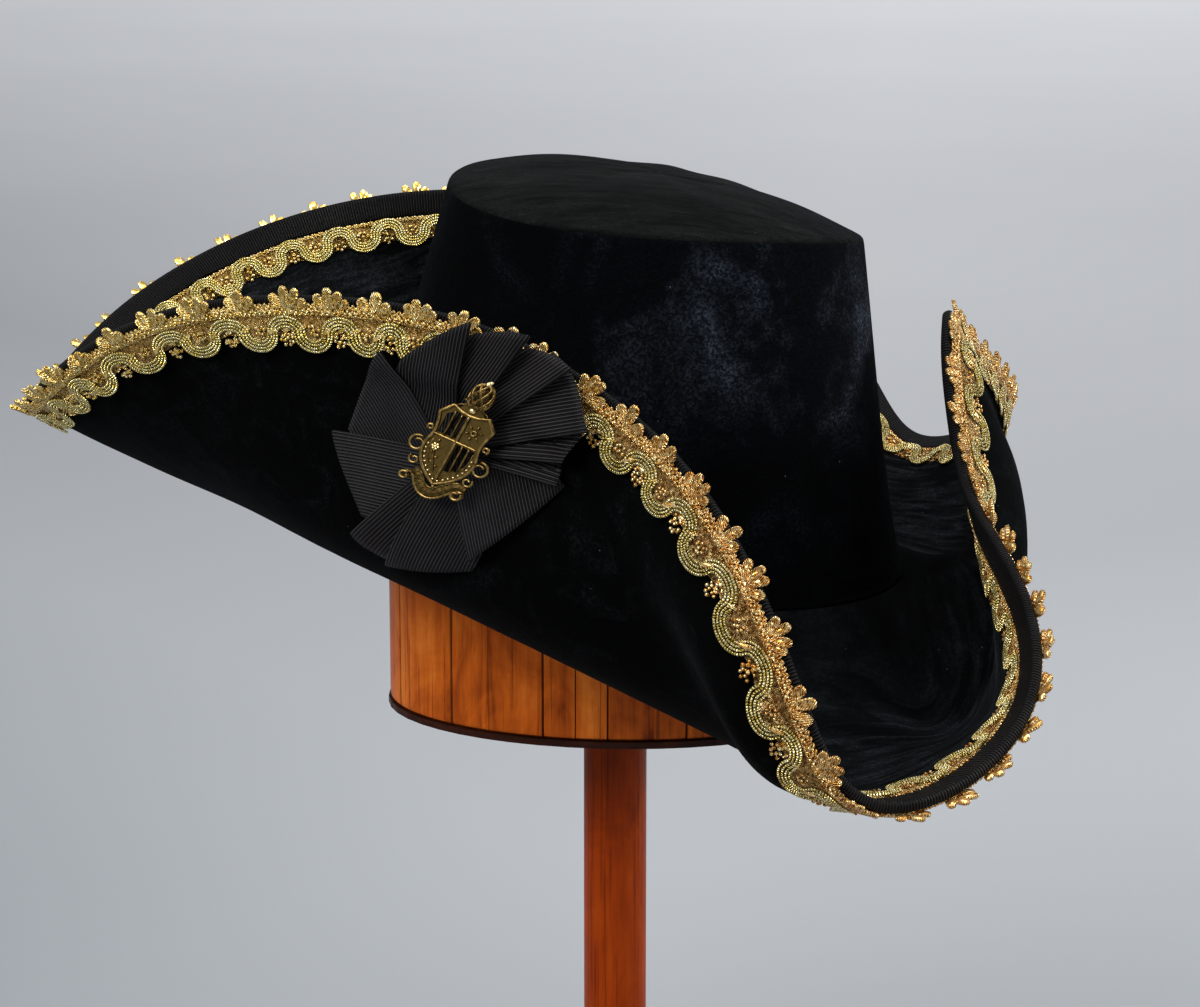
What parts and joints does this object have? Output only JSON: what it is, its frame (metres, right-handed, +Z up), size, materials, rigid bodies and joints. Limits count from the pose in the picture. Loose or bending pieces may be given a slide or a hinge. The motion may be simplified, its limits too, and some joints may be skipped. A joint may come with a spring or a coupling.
{
  "type": "tricorn hat on a hat stand",
  "caption": "Black velvet three-cornered hat with a gold-braided, turned-up brim, a pleated ribbon cockade and a brass crest, on a turned wooden hat stand.",
  "frame": {"origin": "centre of the stand foot's underside, on the surface that it stands on", "axes": "+Z up; -Y towards the front point of the hat; +X towards the wearer's left, the side with the cockade"},
  "size_m": [0.4485, 0.3907, 0.4397],
  "materials": {
    "velvet": "crushed black velvet",
    "ribbon": "ribbed black ribbon",
    "gold_braid": "metallic gold thread",
    "antique_brass": "antiqued cast brass",
    "varnished_wood": "varnished orange-brown wood",
    "dark_wood": "dark stained wood"
  },
  "bodies": {
    "root": {"crown_side": "velvet", "crown_tip": "velvet", "brim": "velvet", "edge_binding": "ribbon", "outer_braid": "gold_braid", "inner_braid": "gold_braid", "cockade": "ribbon", "crest": "antique_brass", "hat_block": "varnished_wood", "block_rim": "dark_wood", "stand_post": "varnished_wood", "stand_base": "varnished_wood"}
  },
  "joints": []
}
